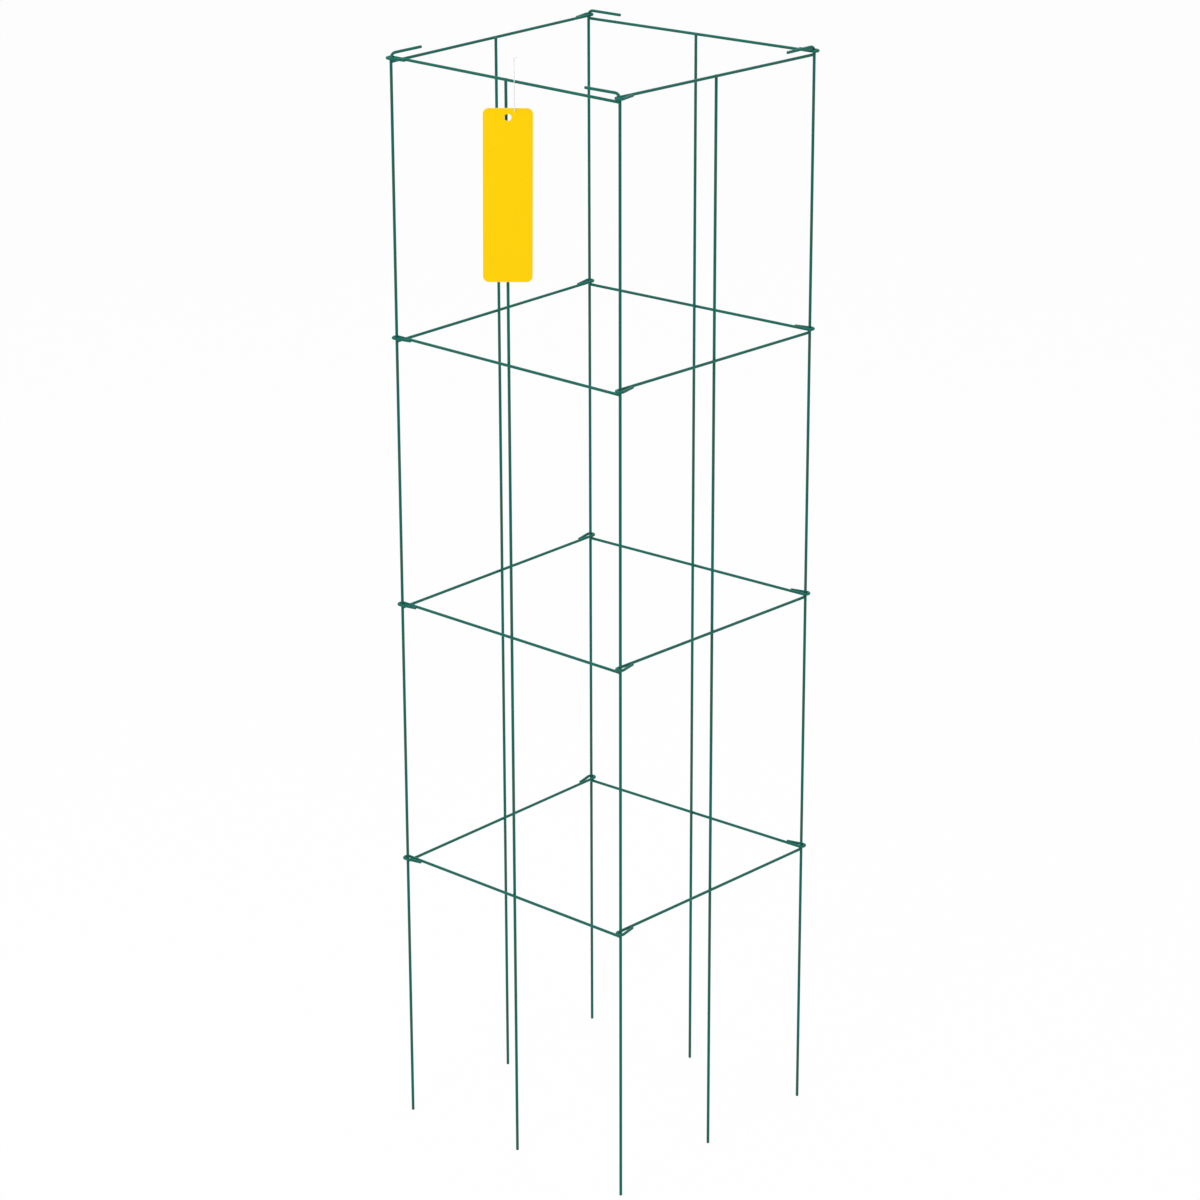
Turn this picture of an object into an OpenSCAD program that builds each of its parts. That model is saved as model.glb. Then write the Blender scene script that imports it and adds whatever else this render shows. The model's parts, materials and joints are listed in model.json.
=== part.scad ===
// Square folding plant cage of coated wire, with a hang tag on its front panel.
// Four identical panels are hinged to each other at the corners. A panel has one corner post with a
// hook bent at its top, one mid upright, and four rails. A rail is butt welded to its own corner
// post, climbs a little, and ends in an eye that turns on the next panel's corner post.
// Millimetres, +Z up. The origin is on the ground, under the middle of the cage.

/* [Cage] */
// Distance between the axes of neighbouring corner posts
side = 300; // [260:1:400]
// Height of the bottom rail's axis above the feet, at its own corner post
leg_h = 297; // [150:1:400]
// Height from one rail to the next
rail_pitch = 288.5; // [240:0.5:360]
// Diameter of the coated wire
wire_d = 3; // [2:0.1:3.5]
// Height of an upright's top above the top rail's axis
upright_rise = 0.8; // [0.5:0.1:6]
// Chamfer round a cut wire end
tip_chamfer = 0.3; // [0.1:0.05:0.6]

/* [Welds] */
// Depth to which two welded wires sink into each other
weld_sink = 0.3; // [0.1:0.05:0.5]

/* [Hinge eyes] */
// Play all round between an eye and the post that it turns on
eye_play = 0.8; // [0.4:0.1:1.5]
// Gap between an eye and the rail end that is welded below it
eye_lift = 0.9; // [0.5:0.1:1.5]
// Length of the straight end that closes an eye
eye_tail = 19; // [12:0.5:26]
// Step on the radius where that end leaves the bend, as it is a hair thinner
eye_end_step = 0.01; // [0.01:0.01:0.1]
// Gap between the tip of that end and its own rail
eye_tip_gap = 0.3; // [0.2:0.1:1]

/* [Top hooks] */
// Reach of a hook from the axis of its corner post
hook_reach = 44; // [25:1:70]
// Bend radius of a hook at the wire's axis
hook_bend_r = 6; // [3:0.1:6.5]
// Height of a hook's axis above the middle of the top eye
hook_rise = 4.6; // [4:0.1:8]

/* [Hang tag] */
// Distance of the tag's loop from the front upright's axis, along the panel
tag_beside = 13.7; // [12:0.1:40]
// Angle by which the tag is turned out of the front panel
tag_turn = 42; // [20:1:50]
// Angle by which the tag hangs out of plumb
tag_lean = 0.6; // [0:0.1:5]
// Width of the tag
tag_w = 49; // [30:1:60]
// Height of the tag
tag_h = 174.5; // [100:0.5:190]
// Thickness of the tag
tag_t = 0.6; // [0.3:0.1:1.2]
// Corner radius of the tag
tag_corner_r = 6; // [2:0.5:10]
// Diameter of the peg hole in the tag's middle
peg_hole_d = 7; // [5:0.5:9]
// Depth of the peg hole's centre below the tag's top edge
peg_hole_drop = 9.3; // [8:0.1:20]
// Distance of the loop's hole from the tag's middle
loop_hole_off = 6.5; // [6:0.1:12]
// Depth of the loop's hole below the tag's top edge
loop_hole_drop = 3.5; // [2.5:0.1:4]

/* [Tag loop] */
// Diameter of the loop's clear filament
loop_wire_d = 0.9; // [0.6:0.1:1.4]
// Gap between the loop and what it hangs on or passes through
loop_gap = 0.3; // [0.2:0.05:0.5]
// Depth of the loop's lowest point below the rail's axis
loop_drop = 29.7; // [20:0.1:45]
// Height of the loop's free end above the rail's axis
loop_end_rise = 23; // [10:0.5:35]
// Length of the small crossbar at that end
loop_bar_l = 3; // [2:0.5:6]

/* [Hidden] */
$fn = 48;

side_names = ["front", "left", "back", "right"];
side_turns = [180, 90, 0, -90];
rail_names = ["bottom_rail", "lower_rail", "upper_rail", "top_rail"];
top_level = len(rail_names) - 1;

wire_color = [0.13, 0.42, 0.35];
tag_color = [0.98, 0.82, 0.02];
filament_color = [0.93, 0.95, 0.96, 0.5];

wire_r = wire_d / 2;

// An eye's axis circle goes round the next post, and it sits above that post's own welded rail
eye_r = wire_d + eye_play;
eye_rise = wire_d + eye_lift;
eye_tip_offset = wire_d + eye_tip_gap;
// The eye's end turns in past parallel by this angle, until its tip lies beside the rail
eye_close = acos((eye_tip_offset - eye_r) / norm([eye_r, eye_tail])) - atan2(eye_tail, eye_r);

// A rail starts at its own post's axis, is tangent to the eye on the inside of the next post,
// and climbs by eye_rise on the way
rail_yaw = asin(eye_r / side);
rail_run = side * cos(rail_yaw);
rail_climb = atan2(eye_rise, rail_run);
rail_l = norm([rail_run, eye_rise]);

// Inward offset and climb of a rail's axis at a distance x along its panel
function rail_inset(x) = x * tan(rail_yaw);
function rail_lift(x) = x / cos(rail_yaw) * tan(rail_climb);
function rail_z(level) = leg_h + level * rail_pitch;

hook_z = rail_z(top_level) + eye_rise + hook_rise;
hook_start_z = hook_z - hook_bend_r;

upright_x = side / 2;
upright_inset = rail_inset(upright_x) + wire_d - weld_sink;
upright_h = rail_z(top_level) + rail_lift(upright_x) + upright_rise;

// The tag's loop hangs on the front panel's top rail, in a plane square to the tag
tag_x = upright_x - tag_beside;
tag_anchor = [
    side / 2 - tag_x,
    rail_inset(tag_x) - side / 2,
    rail_z(top_level) + rail_lift(tag_x)
];
loop_r = (wire_r + loop_gap + loop_wire_d / 2) / cos(tag_turn + rail_yaw);
loop_top = wire_r + loop_gap + loop_wire_d / 2 - loop_r;
loop_bottom = loop_r - loop_drop;
loop_hole_d = loop_wire_d + 2 * loop_gap;

// Carries a piece from its panel's own frame to the panel's side of the cage.
// In that frame the corner post is at the origin, +X runs along the panel and +Y points outwards.
module on_side(i) {
    rotate([0, 0, side_turns[i]])
        translate([-side / 2, side / 2, 0])
            children();
}

// Wire of length l along +Z, with its far end cut and chamfered
module tipped_wire(l, d) {
    cylinder(d = d, h = l - tip_chamfer);
    translate([0, 0, l - tip_chamfer])
        cylinder(d1 = d, d2 = d - 2 * tip_chamfer, h = tip_chamfer);
}

// Bent wire in the XY plane, with its centre at the origin, that turns from +X by an angle
module wire_bend(r, d, turn) {
    rotate_extrude(angle = turn)
        translate([r, 0])
            circle(d = d);
}

// Corner post, whose top is bent into a hook over its own panel
module corner_post() {
    color(wire_color) {
        translate([0, 0, hook_start_z])
            rotate([180, 0, 0])
                tipped_wire(hook_start_z, wire_d);
        translate([hook_bend_r, 0, hook_start_z])
            rotate([90, 0, 0])
                rotate([0, 0, 90])
                    wire_bend(hook_bend_r, wire_d, 90);
        translate([hook_bend_r, 0, hook_z])
            rotate([0, 90, 0])
                tipped_wire(hook_reach - hook_bend_r, wire_d);
    }
}

// Upright in the panel's middle, welded to the inside of the rails
module mid_upright() {
    color(wire_color)
        translate([upright_x, -upright_inset, 0]) {
            translate([0, 0, upright_h / 2])
                tipped_wire(upright_h / 2, wire_d);
            translate([0, 0, upright_h / 2])
                rotate([180, 0, 0])
                    tipped_wire(upright_h / 2, wire_d);
        }
}

// Hinge eye round the origin, which starts from a rail that comes in along +X
module rail_eye() {
    rotate([0, 0, -90])
        wire_bend(eye_r, wire_d, 180 + eye_close);
    rotate([0, 0, eye_close])
        translate([eye_end_step, eye_r, 0])
            rotate([0, -90, 0])
                tipped_wire(eye_tail + eye_end_step, wire_d - 2 * eye_end_step);
}

// Rail with its hinge eye, one per level, drawn from the point where the eye begins
module rail(level) {
    welded_end = wire_r - weld_sink;
    color(wire_color)
        translate([0, 0, rail_z(level)])
            rotate([0, -rail_climb, -rail_yaw])
                translate([rail_l, 0, 0]) {
                    rotate([0, -90, 0])
                        cylinder(d = wire_d, h = rail_l - welded_end);
                    translate([0, eye_r, 0])
                        rail_eye();
                }
}

// Carries a piece from the tag's frame: origin on the rail's axis, +X along the tag, -Y its face
module at_tag() {
    translate(tag_anchor)
        rotate([0, 0, tag_turn])
            children();
}

// Clear loop over the rail and through the tag, with its free end standing up
module tag_loop() {
    color(filament_color)
        at_tag() {
            for (y = [-loop_r, loop_r])
                translate([0, y, loop_bottom])
                    cylinder(d = loop_wire_d, h = loop_top - loop_bottom);
            translate([0, 0, loop_top])
                rotate([90, 0, 90])
                    wire_bend(loop_r, loop_wire_d, 180);
            translate([0, 0, loop_bottom])
                rotate([-90, 0, 90])
                    wire_bend(loop_r, loop_wire_d, 180);
            translate([0, 0, loop_top + loop_r])
                cylinder(d = loop_wire_d, h = loop_end_rise - loop_top - loop_r);
            translate([-loop_wire_d / 2, 0, loop_end_rise])
                rotate([0, 90, 0])
                    cylinder(d = loop_wire_d, h = loop_bar_l);
        }
}

// Outline of the tag, with its top edge on the X axis and its middle on the Y axis
module tag_outline() {
    inner_w = tag_w - 2 * tag_corner_r;
    inner_h = tag_h - 2 * tag_corner_r;
    translate([-inner_w / 2, -tag_h])
        square([inner_w, tag_h]);
    translate([-tag_w / 2, -tag_h + tag_corner_r])
        square([tag_w, inner_h]);
    for (x = [-inner_w / 2, inner_w / 2], y = [-tag_corner_r, tag_corner_r - tag_h])
        translate([x, y])
            circle(r = tag_corner_r);
}

// Blank tag with a peg hole, hung by a small hole beside it, about which it leans
module hang_tag() {
    color(tag_color)
        at_tag()
            translate([0, tag_t / 2, -loop_drop])
                rotate([90, 0, 0])
                    linear_extrude(tag_t)
                        rotate(-tag_lean)
                            translate([-loop_hole_off, loop_hole_drop])
                                difference() {
                                    tag_outline();
                                    translate([0, -peg_hole_drop])
                                        circle(d = peg_hole_d);
                                    translate([loop_hole_off, -loop_hole_drop])
                                        circle(d = loop_hole_d);
                                }
}

for (i = [0 : len(side_names) - 1]) {
    on_side(i) corner_post();
    on_side(i) mid_upright();
    for (level = [0 : top_level])
        on_side(i) rail(level);
}
tag_loop();
hang_tag();
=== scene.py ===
"""Dresses the folding wire plant cage: coated wires, weld fillets, the blank hang tag and its loop."""
import json
from math import acos, asin, atan2, ceil, cos, hypot, pi, radians, sin, tan

import bpy
from mathutils import Matrix, Quaternion, Vector


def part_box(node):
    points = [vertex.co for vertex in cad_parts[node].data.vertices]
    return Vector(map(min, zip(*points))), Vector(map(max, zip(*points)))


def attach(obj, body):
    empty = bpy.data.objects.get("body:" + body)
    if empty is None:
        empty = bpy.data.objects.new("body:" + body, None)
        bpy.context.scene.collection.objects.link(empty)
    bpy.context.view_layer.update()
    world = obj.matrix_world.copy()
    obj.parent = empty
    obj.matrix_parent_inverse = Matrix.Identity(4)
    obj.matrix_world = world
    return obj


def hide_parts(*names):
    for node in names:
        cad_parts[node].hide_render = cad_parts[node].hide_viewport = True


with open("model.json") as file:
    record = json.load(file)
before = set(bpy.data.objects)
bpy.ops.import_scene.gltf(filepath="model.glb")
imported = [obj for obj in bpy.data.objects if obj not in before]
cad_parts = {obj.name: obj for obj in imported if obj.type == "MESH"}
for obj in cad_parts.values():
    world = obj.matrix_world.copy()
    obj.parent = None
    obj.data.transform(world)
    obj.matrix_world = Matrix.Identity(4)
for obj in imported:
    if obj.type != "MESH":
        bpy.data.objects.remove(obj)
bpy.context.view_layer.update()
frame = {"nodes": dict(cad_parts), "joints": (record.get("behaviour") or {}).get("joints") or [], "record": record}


UP = Vector((0, 0, 1))
SIDES = ("front", "left", "back", "right")
SIDE_TURNS = (radians(180), radians(90), 0, radians(-90))
RAILS = ("bottom_rail", "lower_rail", "upper_rail", "top_rail")


# Sizes read from the frame, in metres

def box_in(place, node):
    """Lowest and highest corners of a CAD node, measured in the axes of a place."""
    to_place = place.inverted()
    points = [to_place @ vertex.co for vertex in frame["nodes"][node].data.vertices]
    return Vector(map(min, zip(*points))), Vector(map(max, zip(*points)))


joints = {joint["name"]: joint for joint in frame["joints"]}
mounts = {mount["name"]: mount for mount in frame["record"]["mounts"]}

front_post_foot = Vector(joints["right_fold"]["pos_m"])
left_post_foot = Vector(joints["left_fold"]["pos_m"])
side = (front_post_foot - left_post_foot).length
half_side = side / 2

upright_low, upright_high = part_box("front_mid_upright")
wire_r = (upright_high.x - upright_low.x) / 2
upright_inset = half_side + (upright_low.y + upright_high.y) / 2
upright_h = upright_high.z

post_low, post_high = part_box("front_corner_post")
hook_z = post_high.z - wire_r
hook_reach = half_side - post_low.x

rail_low, rail_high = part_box("front_bottom_rail")
eye_r = -rail_low.x - half_side - wire_r
rail_climb = asin((rail_high.z - rail_low.z - 2 * wire_r) / (side + eye_r))
rail_yaw = asin(eye_r / side)
rail_l = side * cos(rail_yaw) / cos(rail_climb)
rail_heights = [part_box(f"front_{rail}")[0].z + wire_r for rail in RAILS]
weld_sink = half_side * tan(rail_yaw) + 2 * wire_r - upright_inset
upright_rise = upright_h - rail_heights[-1] - half_side / cos(rail_yaw) * tan(rail_climb)

# Sizes of the CAD model that its boxes don't give, in metres

HOOK_BEND_R = 0.006
EYE_TAIL = 0.019
EYE_TIP_GAP = 0.0003
LOOP_GAP = 0.0003
TAG_CORNER_R = 0.006
TAG_LEAN = radians(0.6)

# Places of the tag and its loop. The loop's origin is on the rail's axis. The card's is in the loop's hole,
# about which the card leans. For both, +X runs along the card and -Y is its face.

tag_face = Vector(joints["tag_tilt"]["axis"])
tag_turn = Matrix.Rotation(atan2(tag_face.x, -tag_face.y), 4, "Z")
loop_place = Matrix.Translation(joints["tag_swing"]["pos_m"]) @ tag_turn
tag_lean = Matrix.Rotation(TAG_LEAN, 4, "Y")
card_place = Matrix.Translation(joints["tag_tilt"]["pos_m"]) @ tag_turn @ tag_lean

card_low, card_high = box_in(card_place, "hang_tag")
card_size = card_high - card_low
peg_hole = card_place.inverted() @ Vector(mounts["tag_peg_hole"]["pos_m"])
peg_hole_r = mounts["tag_peg_hole"]["dims"]["r_mm"] / 1000

loop_low, loop_high = box_in(loop_place, "tag_loop")
filament_r = -loop_low.x
loop_r = (loop_high.y - loop_low.y) / 2 - filament_r


# Sizes that only the look needs, in metres

TAG_EDGE_ROUND = 0.00012
TAG_BOW = 0.0012
WIRE_TIP_ROUND = 0.0007
RAIL_START = 0.0002
WELD_REACH = 0.0036
WELD_SWELL = 0.00004

# Fineness of the meshes

WIRE_SIDES = 24
ROD_SIDES = 32
FILAMENT_SIDES = 20
HOLE_SIDES = 40
CORNER_SEGMENTS = 10
TIP_SEGMENTS = 4
RIM_SEGMENTS = 2
TAG_STRIPS = 12
RUN_STEP = 0.04
BEND_STEP = radians(7)
ROUNDED_ANGLE = radians(60)
SHARP_ANGLE = radians(40)
MERGE_DISTANCE = 1e-6
WELD_VOXEL = 0.00018
WELD_SMOOTHINGS = 60
FILAMENT_VOXEL = 0.00012
FILAMENT_SMOOTHINGS = 6
SMOOTHING_SHARE = 0.5


# Camera, at the photograph's view

CAMERA_AIM = Vector((-0.0037, -0.0032, 0.5878))
CAMERA_AZIMUTH = radians(40.88)
CAMERA_ELEVATION = radians(19.53)
CAMERA_ROLL = radians(-0.153)
CAMERA_DISTANCE = 3.965
CAMERA_LENS = 113.25
CAMERA_SENSOR = 36


def make_camera():
    data = bpy.data.cameras.new("photo_camera")
    data.lens = CAMERA_LENS
    data.sensor_width = CAMERA_SENSOR
    camera = bpy.data.objects.new("photo_camera", data)
    bpy.context.scene.collection.objects.link(camera)
    back = Vector((
        sin(CAMERA_AZIMUTH) * cos(CAMERA_ELEVATION),
        -cos(CAMERA_AZIMUTH) * cos(CAMERA_ELEVATION),
        sin(CAMERA_ELEVATION),
    ))
    camera.location = CAMERA_AIM + back * CAMERA_DISTANCE
    camera.rotation_mode = "QUATERNION"
    camera.rotation_quaternion = (-back).to_track_quat("-Z", "Y") @ Quaternion((0, 0, 1), CAMERA_ROLL)
    bpy.context.scene.camera = camera


# Shader nodes written as expressions

class Value:
    """One output of a shader node. Arithmetic on values adds Math nodes to the same tree."""

    def __init__(self, nodes, socket):
        self.nodes = nodes
        self.socket = socket

    def math(self, operation, first, second):
        return self.nodes.add("ShaderNodeMath", {0: first, 1: second}, operation=operation)

    def __add__(self, other):
        return self.math("ADD", self, other)

    def __radd__(self, other):
        return self.math("ADD", other, self)

    def __sub__(self, other):
        return self.math("SUBTRACT", self, other)

    def __rsub__(self, other):
        return self.math("SUBTRACT", other, self)

    def __mul__(self, other):
        return self.math("MULTIPLY", self, other)

    def __rmul__(self, other):
        return self.math("MULTIPLY", other, self)

    def __abs__(self):
        return self.math("ABSOLUTE", self, 0)


class Nodes:
    """A cleared node tree, to which any node is added by one method."""

    def __init__(self, tree):
        self.tree = tree
        tree.nodes.clear()

    def add(self, kind, inputs=None, out=0, **settings):
        """Adds a node, sets its settings, feeds its inputs and returns one of its outputs as a Value."""
        node = self.tree.nodes.new(kind)
        for name, setting in settings.items():
            setattr(node, name, setting)
        for name, given in (inputs or {}).items():
            if isinstance(given, Value):
                self.tree.links.new(given.socket, node.inputs[name])
            else:
                node.inputs[name].default_value = given
        return Value(self, node.outputs[out]) if node.outputs else None

    def object_coordinates(self):
        return self.add("ShaderNodeTexCoord", out="Object")

    def noise(self, coordinates, scale, detail=2.0):
        """Noise from 0 to 1 whose lumps are about one over the scale, in metres."""
        inputs = {"Vector": coordinates, "Scale": scale, "Detail": detail}
        return self.add("ShaderNodeTexNoise", inputs, out="Fac")

    def ease(self, value, low, high):
        """Goes smoothly from 0 at low to 1 at high; high may be the lesser one."""
        inputs = {"Value": value, "From Min": low, "From Max": high}
        return self.add("ShaderNodeMapRange", inputs, interpolation_type="SMOOTHSTEP")

    def mix_colours(self, share, first, second):
        inputs = {"Factor": share, 6: first, 7: second}
        return self.add("ShaderNodeMix", inputs, out=2, data_type="RGBA")

    def bump(self, height, depth):
        """Normal that a height from 0 to 1 gives, where 1 stands a depth in metres above 0."""
        inputs = {"Height": height, "Distance": depth, "Strength": 1.0}
        return self.add("ShaderNodeBump", inputs, out="Normal")

    def surface(self, **sockets):
        """Principled shader whose sockets are named with underscores for spaces, led to the output."""
        inputs = {name.replace("_", " "): given for name, given in sockets.items()}
        shader = self.add("ShaderNodeBsdfPrincipled", inputs)
        self.add("ShaderNodeOutputMaterial", {"Surface": shader})


def new_finish(name):
    material = bpy.data.materials.new(name)
    material.use_nodes = True
    return material, Nodes(material.node_tree)


COATING_DEEP = (0.0010, 0.107, 0.078, 1)
COATING_CLEAR = (0.0020, 0.134, 0.101, 1)
COATING_RUBBED = (0.012, 0.172, 0.132, 1)
COATING_CLOUD_SCALE = 28
COATING_CLOUD_SHARE = 0.75
COATING_MOTTLE_SCALE = 420
COATING_LUMP_SCALE = 330
COATING_PEEL_SCALE = 1500
COATING_PEEL_SHARE = 0.35
COATING_BUMP = 0.00005
COATING_ROUGHNESS = 0.24
COATING_MOTTLE_ROUGHNESS = 0.12
COATING_GLOSS = 0.15
RUB_REACH = 0.0075
RUB_FROM, RUB_TO = 0.44, 0.62
RUB_STRENGTH = 0.6
RUB_ROUGHNESS = 0.14


def coated_wire_finish():
    """Dark green plastic coating: cloudy colour, orange peel, and a rubbed skin where the eyes turn."""
    material, nodes = new_finish("coated_wire")
    place = nodes.object_coordinates()
    cloud = nodes.noise(place, COATING_CLOUD_SCALE, detail=3.0)
    mottle = nodes.noise(place, COATING_MOTTLE_SCALE, detail=3.0)
    peel = nodes.noise(place, COATING_PEEL_SCALE)
    lumps = nodes.noise(place, COATING_LUMP_SCALE)

    # Distance from the nearest corner post's axis, and from the nearest eye's height
    axes = nodes.add("ShaderNodeSeparateXYZ", {"Vector": place})
    x, y, z = (Value(nodes, socket) for socket in axes.socket.node.outputs)
    offsets = {"X": abs(abs(x) - half_side), "Y": abs(abs(y) - half_side)}
    offset = nodes.add("ShaderNodeCombineXYZ", offsets)
    from_axis = nodes.add("ShaderNodeVectorMath", {0: offset}, out="Value", operation="LENGTH")
    pitch = (rail_heights[-1] - rail_heights[0]) / (len(RAILS) - 1)
    eye_height = rail_heights[0] + rail_l * sin(rail_climb)
    # Below the bottom eyes, where there are none, the height counts as a quarter pitch away from them
    above_legs = nodes.add("ShaderNodeMath", {0: z - eye_height, 1: -pitch / 4}, operation="MAXIMUM")
    round_one_eye = {0: above_legs, 1: -pitch / 2, 2: pitch / 2}
    from_eye = abs(nodes.add("ShaderNodeMath", round_one_eye, operation="WRAP"))
    near_eye = nodes.ease(from_axis, RUB_REACH, eye_r) * nodes.ease(from_eye, RUB_REACH, wire_r)
    rubbed = near_eye * nodes.ease(mottle, RUB_FROM, RUB_TO)

    clearness = cloud * COATING_CLOUD_SHARE + mottle * (1 - COATING_CLOUD_SHARE)
    height = peel * COATING_PEEL_SHARE + lumps * (1 - COATING_PEEL_SHARE)
    colour = nodes.mix_colours(clearness, COATING_DEEP, COATING_CLEAR)
    colour = nodes.mix_colours(rubbed * RUB_STRENGTH, colour, COATING_RUBBED)
    nodes.surface(
        Base_Color=colour,
        Roughness=COATING_ROUGHNESS + mottle * COATING_MOTTLE_ROUGHNESS + rubbed * RUB_ROUGHNESS,
        Specular_IOR_Level=COATING_GLOSS,
        Normal=nodes.bump(height, COATING_BUMP),
    )
    return material


CARD_YELLOW = (0.985, 0.645, 0.0015, 1)
CARD_WARM = (0.960, 0.610, 0.0010, 1)
CARD_FIBRE_SCALE = 1600
CARD_FIBRE_STRETCH = (1, 1, 0.22)
CARD_FIBRE_SHARE = 0.45
CARD_CLOUD_SCALE = 45
CARD_CLOUD_SHARE = 0.35
CARD_BUMP = 0.00002
CARD_ROUGHNESS = 0.42
CARD_FIBRE_ROUGHNESS = 0.16
CARD_GLOSS = 0.05


def tag_card_finish():
    """Printed yellow card with a satin skin over faint fibres."""
    material, nodes = new_finish("tag_card")
    place = nodes.object_coordinates()
    along_fibres = nodes.add("ShaderNodeMapping", {"Vector": place, "Scale": CARD_FIBRE_STRETCH})
    fibres = nodes.noise(along_fibres, CARD_FIBRE_SCALE, detail=4.0)
    cloud = nodes.noise(place, CARD_CLOUD_SCALE, detail=3.0)
    warmth = fibres * CARD_FIBRE_SHARE + cloud * CARD_CLOUD_SHARE
    nodes.surface(
        Base_Color=nodes.mix_colours(warmth, CARD_YELLOW, CARD_WARM),
        Roughness=CARD_ROUGHNESS + fibres * CARD_FIBRE_ROUGHNESS,
        Specular_IOR_Level=CARD_GLOSS,
        Normal=nodes.bump(fibres, CARD_BUMP),
    )
    return material


CORE_PALE = (0.90, 0.83, 0.62, 1)
CORE_SHADE = (0.80, 0.70, 0.46, 1)
CORE_FIBRE_SCALE = 2600
CORE_BUMP = 0.00004
CORE_ROUGHNESS = 0.78
CORE_FIBRE_ROUGHNESS = 0.15


def card_core_finish():
    """Pale pressed fibre that shows at the card's cut edge."""
    material, nodes = new_finish("card_core")
    fibres = nodes.noise(nodes.object_coordinates(), CORE_FIBRE_SCALE, detail=4.0)
    nodes.surface(
        Base_Color=nodes.mix_colours(fibres, CORE_PALE, CORE_SHADE),
        Roughness=CORE_ROUGHNESS + fibres * CORE_FIBRE_ROUGHNESS,
        Normal=nodes.bump(fibres, CORE_BUMP),
    )
    return material


FILAMENT_WHITE = (0.95, 0.955, 0.96, 1)
FILAMENT_HAZE_SCALE = 500
FILAMENT_BUMP = 0.00001
FILAMENT_ROUGHNESS = 0.22
FILAMENT_HAZE_ROUGHNESS = 0.14
FILAMENT_IOR = 1.46
FILAMENT_CLEARNESS = 0.4


def loop_filament_finish():
    """Milky moulded plastic that lets light through, with faint waves on its skin."""
    material, nodes = new_finish("loop_filament")
    haze = nodes.noise(nodes.object_coordinates(), FILAMENT_HAZE_SCALE)
    nodes.surface(
        Base_Color=FILAMENT_WHITE,
        Roughness=FILAMENT_ROUGHNESS + haze * FILAMENT_HAZE_ROUGHNESS,
        IOR=FILAMENT_IOR,
        Transmission_Weight=FILAMENT_CLEARNESS,
        Normal=nodes.bump(haze, FILAMENT_BUMP),
    )
    return material


# Modelling by hand

def pick_only(piece):
    bpy.ops.object.select_all(action="DESELECT")
    piece.select_set(True)
    bpy.context.view_layer.objects.active = piece


def settle(name):
    """Names the primitive just added and moves its place into its mesh."""
    piece = bpy.context.active_object
    piece.name = name
    piece.data.name = name
    bpy.ops.object.transform_apply(location=True, rotation=True, scale=True)
    return piece


def facing(along):
    """Turn that brings +Z onto a direction."""
    return Vector(along).to_track_quat("Z", "Y").to_euler()


def start_ring(name, radius, sides, centre, along):
    """A ring of a wire's section, left selected in edit mode, ready to be drawn out along a direction."""
    bpy.ops.object.select_all(action="DESELECT")
    turn = facing(along)
    bpy.ops.mesh.primitive_circle_add(vertices=sides, radius=radius, location=centre, rotation=turn)
    piece = settle(name)
    bpy.ops.object.mode_set(mode="EDIT")
    bpy.ops.mesh.select_all(action="SELECT")
    return piece


def draw_out(run):
    """Extrudes the selected ring along a straight run, in even stretches."""
    run = Vector(run)
    stretches = ceil(run.length / RUN_STEP)
    for _ in range(stretches):
        bpy.ops.mesh.extrude_region_move(TRANSFORM_OT_translate={"value": run / stretches})


def bend_round(centre, axis, turn):
    """Carries the selected ring round an axis, right-handed. Spin itself turns the other way."""
    bpy.ops.mesh.spin(steps=ceil(turn / BEND_STEP), angle=-turn, center=centre, axis=axis)


def close_up():
    """Merges the seams, fills the open ends, turns all faces outwards and leaves edit mode."""
    bpy.ops.mesh.select_all(action="SELECT")
    bpy.ops.mesh.remove_doubles(threshold=MERGE_DISTANCE)
    bpy.ops.mesh.fill_holes(sides=0)
    bpy.ops.mesh.select_all(action="SELECT")
    bpy.ops.mesh.normals_make_consistent(inside=False)
    bpy.ops.object.mode_set(mode="OBJECT")


def select_edges(piece, wanted):
    """Opens a piece in edit mode with just those edges selected whose two ends pass a test."""
    pick_only(piece)
    bpy.ops.object.mode_set(mode="EDIT")
    bpy.ops.mesh.select_mode(type="EDGE")
    bpy.ops.mesh.select_all(action="DESELECT")
    bpy.ops.object.mode_set(mode="OBJECT")
    for edge in piece.data.edges:
        start, end = (piece.data.vertices[i].co for i in edge.vertices)
        edge.select = wanted(start, end)
    bpy.ops.object.mode_set(mode="EDIT")


def apply_modifier(piece, kind, **settings):
    pick_only(piece)
    modifier = piece.modifiers.new(kind.lower(), kind)
    for name, setting in settings.items():
        setattr(modifier, name, setting)
    bpy.ops.object.modifier_apply(modifier=modifier.name)


def round_edges(piece, width, segments):
    apply_modifier(
        piece, "BEVEL", width=width, segments=segments, limit_method="ANGLE", angle_limit=ROUNDED_ANGLE
    )


def shade(piece):
    """Smooth shading in which a large face stays even beside the narrow ones of a rounded edge."""
    pick_only(piece)
    bpy.ops.object.shade_smooth_by_angle(angle=SHARP_ANGLE)
    apply_modifier(piece, "WEIGHTED_NORMAL", keep_sharp=True)


def join(name, *pieces):
    bpy.ops.object.select_all(action="DESELECT")
    for piece in pieces:
        piece.select_set(True)
    bpy.context.view_layer.objects.active = pieces[0]
    bpy.ops.object.join()
    pieces[0].name = name
    return pieces[0]


def skin_over(piece, voxel, smoothings):
    """Turns overlapping closed shapes into one skin and softens the corners between them."""
    apply_modifier(piece, "REMESH", mode="VOXEL", voxel_size=voxel)
    apply_modifier(piece, "SMOOTH", factor=SMOOTHING_SHARE, iterations=smoothings)


# Wires, modelled in their panel's own frame: the corner post at the origin, +X along the panel, +Y outwards

def panel_place(index):
    return Matrix.Rotation(SIDE_TURNS[index], 4, "Z") @ Matrix.Translation((-half_side, half_side, 0))


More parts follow.
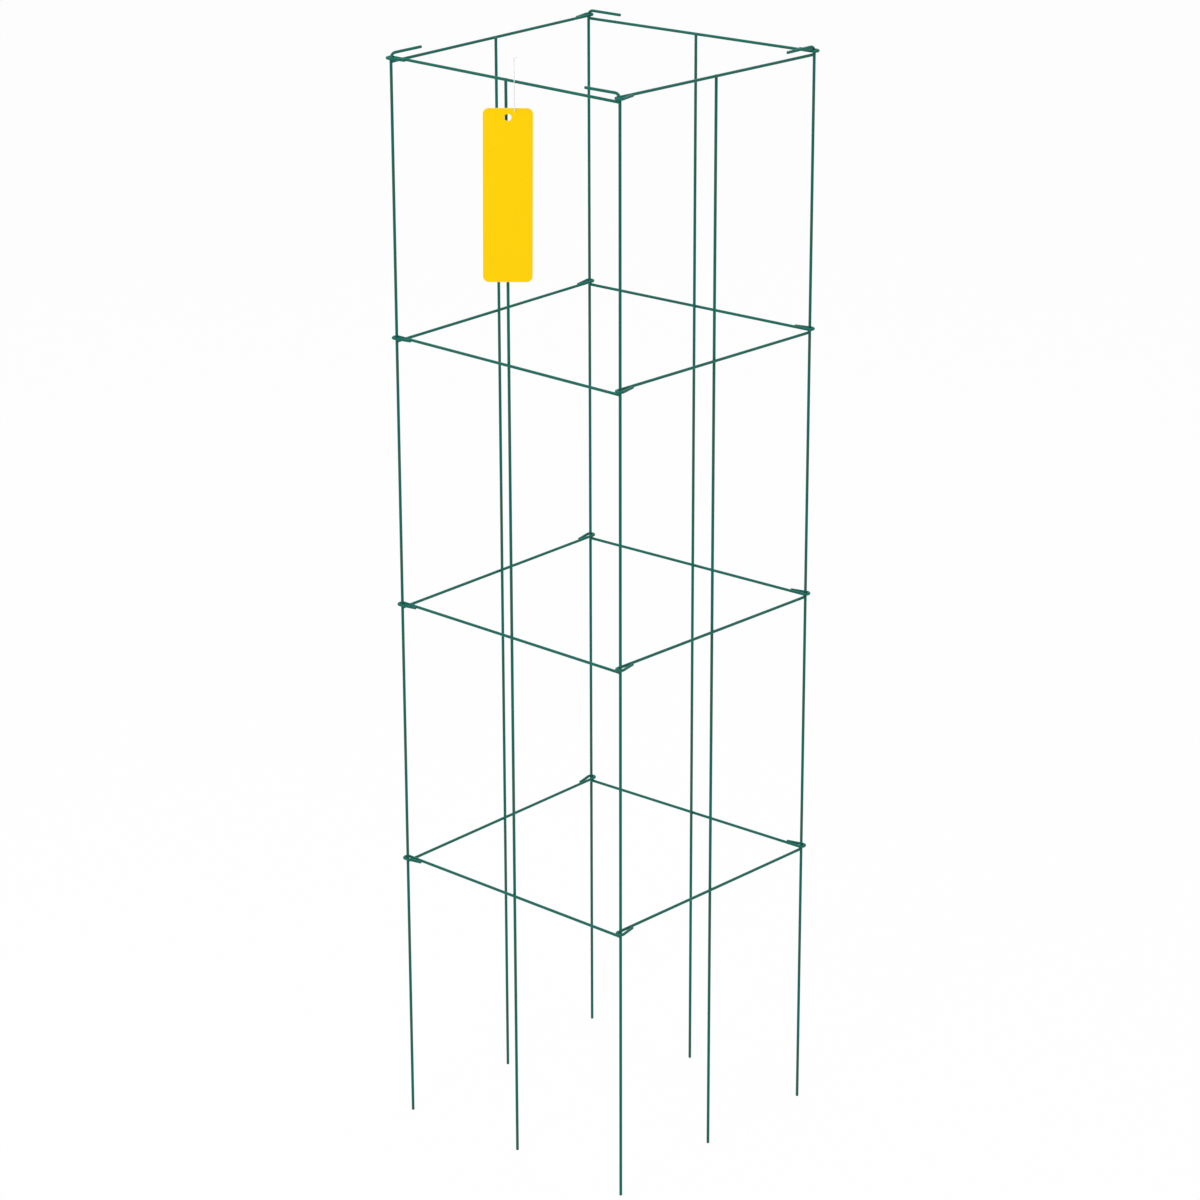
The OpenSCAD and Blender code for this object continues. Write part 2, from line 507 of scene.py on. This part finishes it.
def rail_place(level):
    turn = Matrix.Rotation(-rail_yaw, 4, "Z") @ Matrix.Rotation(-rail_climb, 4, "Y")
    return Matrix.Translation((0, 0, rail_heights[level])) @ turn


def finish_wire(piece):
    close_up()
    round_edges(piece, WIRE_TIP_ROUND, TIP_SEGMENTS)
    shade(piece)
    return piece


def model_corner_post():
    """Full-height wire whose top is bent into a hook over its own panel."""
    post = start_ring("corner_post_model", wire_r, WIRE_SIDES, (0, 0, 0), UP)
    bend_start = hook_z - HOOK_BEND_R
    draw_out((0, 0, bend_start))
    bend_round((HOOK_BEND_R, 0, bend_start), (0, 1, 0), pi / 2)
    draw_out((hook_reach - HOOK_BEND_R, 0, 0))
    return finish_wire(post)


def model_mid_upright():
    upright = start_ring("mid_upright_model", wire_r, WIRE_SIDES, (half_side, -upright_inset, 0), UP)
    draw_out((0, 0, upright_h))
    return finish_wire(upright)


def model_rail():
    """Rail along +X from its own post, bent round the next post into an eye that closes on the rail."""
    rail = start_ring("rail_model", wire_r, WIRE_SIDES, (RAIL_START, 0, 0), (1, 0, 0))
    draw_out((rail_l - RAIL_START, 0, 0))
    tip_offset = 2 * wire_r + EYE_TIP_GAP
    closing = acos((tip_offset - eye_r) / hypot(eye_r, EYE_TAIL)) - atan2(EYE_TAIL, eye_r)
    turn = pi + closing
    bend_round((rail_l, eye_r, 0), (0, 0, 1), turn)
    draw_out((EYE_TAIL * cos(turn), EYE_TAIL * sin(turn), 0))
    return finish_wire(rail)


def rod(name, start, end):
    """Short rod a hair thicker than the wire, from which a weld is skinned."""
    start, end = Vector(start), Vector(end)
    ring = start_ring(name, wire_r + WELD_SWELL, ROD_SIDES, start, end - start)
    draw_out(end - start)
    close_up()
    return ring


def model_weld(name, first_run, second_run):
    """Coated weld round two wires that meet near the origin, sunk into both away from the corner."""
    weld = join(name, rod("first_run", *first_run), rod("second_run", *second_run))
    skin_over(weld, WELD_VOXEL, WELD_SMOOTHINGS)
    shade(weld)
    return weld


def model_post_weld():
    """Weld where a rail ends against its own corner post."""
    upright_run = ((0, 0, -WELD_REACH), (0, 0, WELD_REACH))
    rail_run = ((0, 0, 0), (wire_r + WELD_REACH / 2, 0, 0))
    return model_weld("post_weld_model", upright_run, rail_run)


def model_mid_weld(name, up_reach):
    """Weld where a rail passes the mid upright, which lies on its inside and may end just above it."""
    rail_run = ((-WELD_REACH, 0, 0), (WELD_REACH, 0, 0))
    apart = 2 * wire_r - weld_sink
    upright_run = ((0, -apart, -WELD_REACH), (0, -apart, up_reach))
    return model_weld(name, rail_run, upright_run)


# Tag and loop, each modelled in its own frame

def cut_hole(piece, radius, centre):
    """Punches a round hole through the card, along its thickness."""
    thickness = Vector((0, card_size.y, 0))
    punch = start_ring("punch", radius, HOLE_SIDES, centre - thickness, (0, 1, 0))
    draw_out(2 * thickness)
    close_up()
    apply_modifier(piece, "BOOLEAN", operation="DIFFERENCE", solver="EXACT", object=punch)
    bpy.data.objects.remove(punch)


def model_hang_tag():
    """Blank card with rounded corners, a peg hole, a small hole for the loop and a slight bow."""
    bpy.ops.object.select_all(action="DESELECT")
    bpy.ops.mesh.primitive_cube_add(size=1, location=(card_low + card_high) / 2, scale=card_size)
    tag = settle("hang_tag_model")

    # Corners: the four edges that run through the card's thickness
    select_edges(tag, lambda start, end: abs(start.y - end.y) > card_size.y / 2)
    bpy.ops.mesh.bevel(offset=TAG_CORNER_R, offset_type="OFFSET", segments=CORNER_SEGMENTS, affect="EDGES")
    bpy.ops.object.mode_set(mode="OBJECT")

    cut_hole(tag, peg_hole_r, peg_hole)
    cut_hole(tag, filament_r + LOOP_GAP, Vector((0, 0, 0)))

    # Strips across the card, so that it can bow
    pick_only(tag)
    bpy.ops.object.mode_set(mode="EDIT")
    strips_top = peg_hole.z - 2 * peg_hole_r
    strips_h = strips_top - card_low.z
    for strip in range(TAG_STRIPS):
        bpy.ops.mesh.select_all(action="SELECT")
        height = strips_top - strips_h * strip / TAG_STRIPS
        bpy.ops.mesh.bisect(plane_co=(0, 0, height), plane_no=(0, 0, 1))
    bpy.ops.mesh.select_all(action="SELECT")
    bpy.ops.mesh.remove_doubles(threshold=MERGE_DISTANCE)
    bpy.ops.mesh.normals_make_consistent(inside=False)
    bpy.ops.object.mode_set(mode="OBJECT")
    for vertex in tag.data.vertices:
        down = max(0, (strips_top - vertex.co.z) / strips_h)
        vertex.co.y += TAG_BOW * down * down

    round_edges(tag, TAG_EDGE_ROUND, RIM_SEGMENTS)
    shade(tag)
    return tag


def model_tag_loop():
    """Filament loop over the rail and through the card, with its free end and crossbar standing up."""
    loop_top = wire_r + LOOP_GAP + filament_r - loop_r
    loop_bottom = loop_low.z + filament_r + loop_r
    end_height = loop_high.z - filament_r

    ring = start_ring("loop_ring", filament_r, FILAMENT_SIDES, (0, loop_r, loop_bottom), UP)
    draw_out((0, 0, loop_top - loop_bottom))
    bend_round((0, 0, loop_top), (1, 0, 0), pi)
    draw_out((0, 0, loop_bottom - loop_top))
    bend_round((0, 0, loop_bottom), (1, 0, 0), pi)
    close_up()

    end = start_ring("loop_end", filament_r, FILAMENT_SIDES, (0, 0, loop_top + loop_r), UP)
    draw_out((0, 0, end_height - loop_top - loop_r))
    close_up()

    bar = start_ring("loop_bar", filament_r, FILAMENT_SIDES, (loop_low.x, 0, end_height), (1, 0, 0))
    draw_out((loop_high.x - loop_low.x, 0, 0))
    close_up()
    round_edges(bar, filament_r / 2, RIM_SEGMENTS)

    loop = join("tag_loop_model", ring, end, bar)
    skin_over(loop, FILAMENT_VOXEL, FILAMENT_SMOOTHINGS)
    shade(loop)
    return loop


# Assembly

def copy_to(model, name, place, body, slot, node=None):
    """Copies a modelled piece to its place with a mesh of its own, and lets it ride on a body."""
    piece = bpy.data.objects.new(name, model.data.copy())
    piece.data.name = name
    piece.data.transform(place)
    bpy.context.scene.collection.objects.link(piece)
    if node:
        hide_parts(node)
    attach(piece, body)


def coat(piece, *materials):
    piece.data.materials.clear()
    for material in materials:
        piece.data.materials.append(material)


def assemble_panels():
    coating = coated_wire_finish()
    post, upright, rail = model_corner_post(), model_mid_upright(), model_rail()
    post_weld = model_post_weld()
    mid_weld = model_mid_weld("mid_weld_model", WELD_REACH)
    top_weld = model_mid_weld("top_weld_model", upright_rise)
    mid_welds = [mid_weld] * (len(RAILS) - 1) + [top_weld]
    models = (post, upright, rail, post_weld, mid_weld, top_weld)
    for model in models:
        coat(model, coating)
    # The mid upright stands half-way along the rail
    along_rail = Matrix.Translation((half_side / cos(rail_yaw) / cos(rail_climb), 0, 0))
    for index, side_name in enumerate(SIDES):
        body = f"{side_name}_panel"
        panel = panel_place(index)
        on_side = (panel, body, "coated_wire")
        copy_to(post, f"{side_name}_post_wire", *on_side, f"{side_name}_corner_post")
        copy_to(upright, f"{side_name}_upright_wire", *on_side, f"{side_name}_mid_upright")
        for level, rail_name in enumerate(RAILS):
            node = f"{side_name}_{rail_name}"
            on_rail = panel @ rail_place(level)
            copy_to(rail, f"{node}_wire", on_rail, body, "coated_wire", node)
            copy_to(post_weld, f"{node}_post_weld", on_rail, body, "coated_wire")
            copy_to(mid_welds[level], f"{node}_mid_weld", on_rail @ along_rail, body, "coated_wire")
    for model in models:
        bpy.data.objects.remove(model)


FACE_SLOT, EDGE_SLOT = 0, 1


def assemble_tag():
    tag = model_hang_tag()
    coat(tag, tag_card_finish(), card_core_finish())
    for polygon in tag.data.polygons:
        on_face = abs(polygon.normal.y) > cos(pi / 4)
        polygon.material_index = FACE_SLOT if on_face else EDGE_SLOT
    copy_to(tag, "hang_tag_card", card_place, "hang_tag", "tag_card", "hang_tag")

    loop = model_tag_loop()
    coat(loop, loop_filament_finish())
    copy_to(loop, "tag_loop_filament", loop_place, "tag_loop", "loop_filament", "tag_loop")
    for model in (tag, loop):
        bpy.data.objects.remove(model)


# Stage and light

FLOOR_SIZE = 60
FLOOR_WHITE = 0.86
FLOOR_GLOW = 0.95
SKY_LIGHT = 0.73
SKY_SEEN = 0.985
LAMPS = {
    "key_softbox": {"place": (0.6, -3.2, 3.2), "size": 0.9, "watts": 49},
    "top_softbox": {"place": (-0.4, 0.5, 3.9), "size": 1.3, "watts": 30},
}


def seen_directly(nodes):
    """1 for what the camera sees, straight, mirrored or through glass, and 0 for light on the object."""
    path = nodes.add("ShaderNodeLightPath")
    rays = path.socket.node.outputs
    seen = Value(nodes, rays["Is Camera Ray"]) + Value(nodes, rays["Is Glossy Ray"])
    seen = seen + Value(nodes, rays["Is Transmission Ray"])
    return nodes.add("ShaderNodeClamp", {"Value": seen})


def make_floor():
    bpy.ops.object.select_all(action="DESELECT")
    bpy.ops.mesh.primitive_plane_add(size=FLOOR_SIZE)
    floor = bpy.context.active_object
    floor.name = "floor"
    material, nodes = new_finish("pale_floor")
    matt = nodes.add("ShaderNodeBsdfDiffuse", {"Color": (FLOOR_WHITE, FLOOR_WHITE, FLOOR_WHITE, 1)})
    glow = nodes.add("ShaderNodeEmission", {"Color": (1, 1, 1, 1), "Strength": 1.0})
    mixed = nodes.add("ShaderNodeMixShader", {0: seen_directly(nodes) * FLOOR_GLOW, 1: matt, 2: glow})
    nodes.add("ShaderNodeOutputMaterial", {"Surface": mixed})
    floor.data.materials.append(material)


def make_light():
    world = bpy.data.worlds.new("studio")
    world.use_nodes = True
    nodes = Nodes(world.node_tree)
    strength = SKY_LIGHT + seen_directly(nodes) * (SKY_SEEN - SKY_LIGHT)
    sky = nodes.add("ShaderNodeBackground", {"Color": (1, 1, 1, 1), "Strength": strength})
    nodes.add("ShaderNodeOutputWorld", {"Surface": sky})
    bpy.context.scene.world = world
    for name, lamp in LAMPS.items():
        data = bpy.data.lights.new(name, "AREA")
        data.size = lamp["size"]
        data.energy = lamp["watts"]
        softbox = bpy.data.objects.new(name, data)
        softbox.location = lamp["place"]
        softbox.rotation_euler = (CAMERA_AIM - Vector(lamp["place"])).to_track_quat("-Z", "Y").to_euler()
        bpy.context.scene.collection.objects.link(softbox)


make_camera()
assemble_panels()
assemble_tag()
make_floor()
make_light()
bpy.context.scene.view_settings.view_transform = "Standard"
